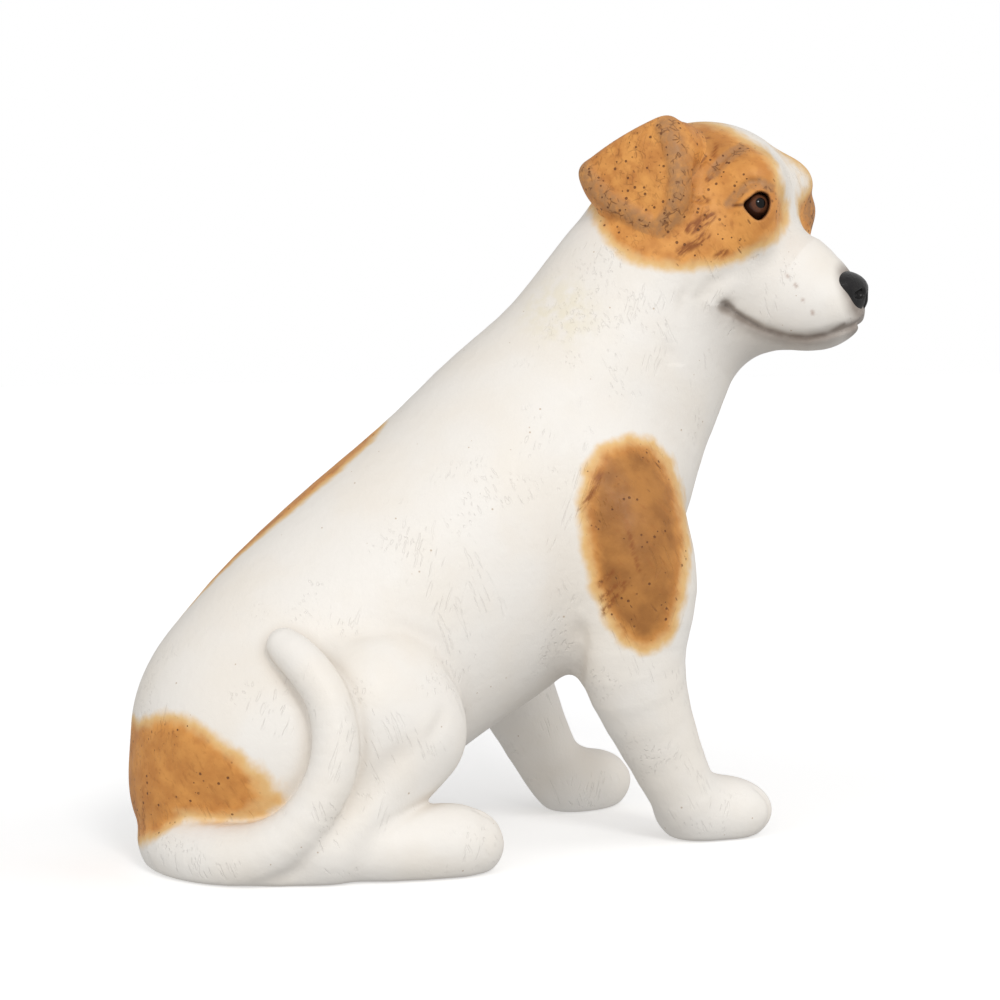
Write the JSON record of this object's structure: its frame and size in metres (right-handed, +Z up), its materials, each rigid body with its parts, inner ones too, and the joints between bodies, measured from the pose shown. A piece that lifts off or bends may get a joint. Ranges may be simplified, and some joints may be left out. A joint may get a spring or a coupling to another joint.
{
  "type": "ceramic dog figurine",
  "caption": "Hollow painted ceramic figurine of a sitting terrier puppy looking over its right shoulder, tail curled round its flank, standing on flat soles.",
  "frame": {"origin": "centre of the footprint's bounding box, on the floor plane the soles rest on", "axes": "+Z up; the puppy's body faces -Y; its left side is +X and its right side is -X, where the head turns and the tail curls; X is the shortest extent"},
  "size_m": [0.0968, 0.1881, 0.1876],
  "materials": {
    "painted_ceramic": "matte warm white with airbrushed tan patches",
    "nose_gloss": "gloss black",
    "eye_gloss": "gloss dark brown"
  },
  "bodies": {
    "root": {"torso_shell": "painted_ceramic", "head_shell": "painted_ceramic", "right_ear": "painted_ceramic", "left_ear": "painted_ceramic", "right_foreleg": "painted_ceramic", "left_foreleg": "painted_ceramic", "right_hind_leg": "painted_ceramic", "left_hind_leg": "painted_ceramic", "tail": "painted_ceramic", "nose": "nose_gloss", "right_eye": "eye_gloss", "left_eye": "eye_gloss"}
  },
  "joints": []
}
